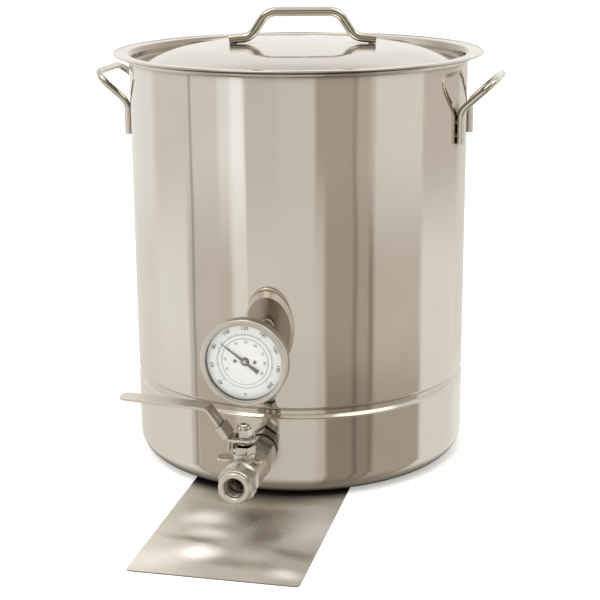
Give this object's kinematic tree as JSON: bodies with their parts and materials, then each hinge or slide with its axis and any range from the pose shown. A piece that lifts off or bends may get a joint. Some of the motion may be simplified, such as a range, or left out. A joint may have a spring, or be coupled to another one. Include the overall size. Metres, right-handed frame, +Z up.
{
  "type": "brew kettle",
  "caption": "Tall stainless pot with a recessed lid, rod handles, a dial thermometer, a lever ball valve low on the wall, a false bottom and a heat plate under it.",
  "frame": {"origin": "centre of the kettle's flat base", "axes": "+Z up, -Y out along the valve's outlet and the thermometer, +X towards the right handle seen from the valve"},
  "size_m": [0.409, 0.5375, 0.4526],
  "materials": {
    "kettle_steel": "polished",
    "lid_steel": "polished",
    "sheet_steel": "bright rolled",
    "rod_steel": "polished",
    "weld_steel": "weld discoloured",
    "valve_steel": "cast, bead blasted and polished",
    "lever_steel": "satin",
    "fitting_steel": "machined",
    "case_steel": "polished",
    "silicone": "moulded",
    "ptfe": "smooth",
    "black_rubber": "moulded",
    "lens_glass": "clear",
    "dial_white": "satin",
    "pointer_black": "satin"
  },
  "bodies": {
    "kettle": {"kettle_shell": "kettle_steel", "handle_right": "rod_steel", "handle_left": "rod_steel", "handle_welds": "weld_steel", "valve_wall_gasket": "silicone", "valve_outer_washer": "fitting_steel", "valve_inner_washer": "fitting_steel", "valve_locknut": "fitting_steel", "valve_bulkhead": "fitting_steel", "valve_end_cap": "valve_steel", "valve_body": "valve_steel", "valve_body_seal": "ptfe", "valve_seats": "ptfe", "valve_stem_packing": "ptfe", "valve_gland_nut": "fitting_steel", "valve_spring_washers": "fitting_steel", "thermometer_wall_gasket": "silicone", "thermometer_outer_washer": "fitting_steel", "thermometer_inner_washer": "fitting_steel", "thermometer_locknut": "fitting_steel", "thermometer_nipple": "fitting_steel", "thermometer_coupler": "fitting_steel", "thermometer_fitting": "fitting_steel", "thermometer_probe": "fitting_steel", "thermometer_case": "case_steel", "thermometer_bezel": "case_steel", "thermometer_lens": "lens_glass", "thermometer_gasket": "black_rubber", "thermometer_dial": "dial_white", "thermometer_dial_posts": "fitting_steel", "thermometer_coil": "fitting_steel"},
    "lid": {"lid": "lid_steel", "lid_handle": "rod_steel", "lid_handle_welds": "weld_steel"},
    "lever": {"valve_lever": "lever_steel", "lever_washer": "fitting_steel", "lever_nut": "fitting_steel", "valve_stem": "fitting_steel", "valve_ball": "fitting_steel"},
    "lever_lock": {"lever_lock": "lever_steel"},
    "pointer": {"thermometer_pointer": "pointer_black", "thermometer_shaft": "fitting_steel"},
    "false_bottom": {"false_bottom": "sheet_steel"},
    "heat_plate": {"heat_plate": "sheet_steel"}
  },
  "joints": [
    {"name": "lid_lift", "type": "slide", "parent": "kettle", "child": "lid", "axis": [0, 0, 1], "range_m": [0, 0.25]},
    {"name": "valve_turn", "type": "hinge", "parent": "kettle", "child": "lever", "pos_m": [0, -0.231, 0.0814], "axis": [0, 0, 1], "range_deg": [0, 90]},
    {"name": "lock_slide", "type": "slide", "parent": "lever", "child": "lever_lock", "axis": [-0.5927, 0, 0.8054], "range_m": [0, 0.006]},
    {"name": "pointer_turn", "type": "hinge", "parent": "kettle", "child": "pointer", "pos_m": [0, -0.2247, 0.1525], "axis": [0, 1, 0], "range_deg": [-78, 186]},
    {"name": "false_bottom_lift", "type": "slide", "parent": "kettle", "child": "false_bottom", "axis": [0, 0, 1], "range_m": [0, 0.04]},
    {"name": "heat_plate_pull", "type": "slide", "parent": "kettle", "child": "heat_plate", "axis": [0, -1, 0], "range_m": [0, 0.25]}
  ]
}
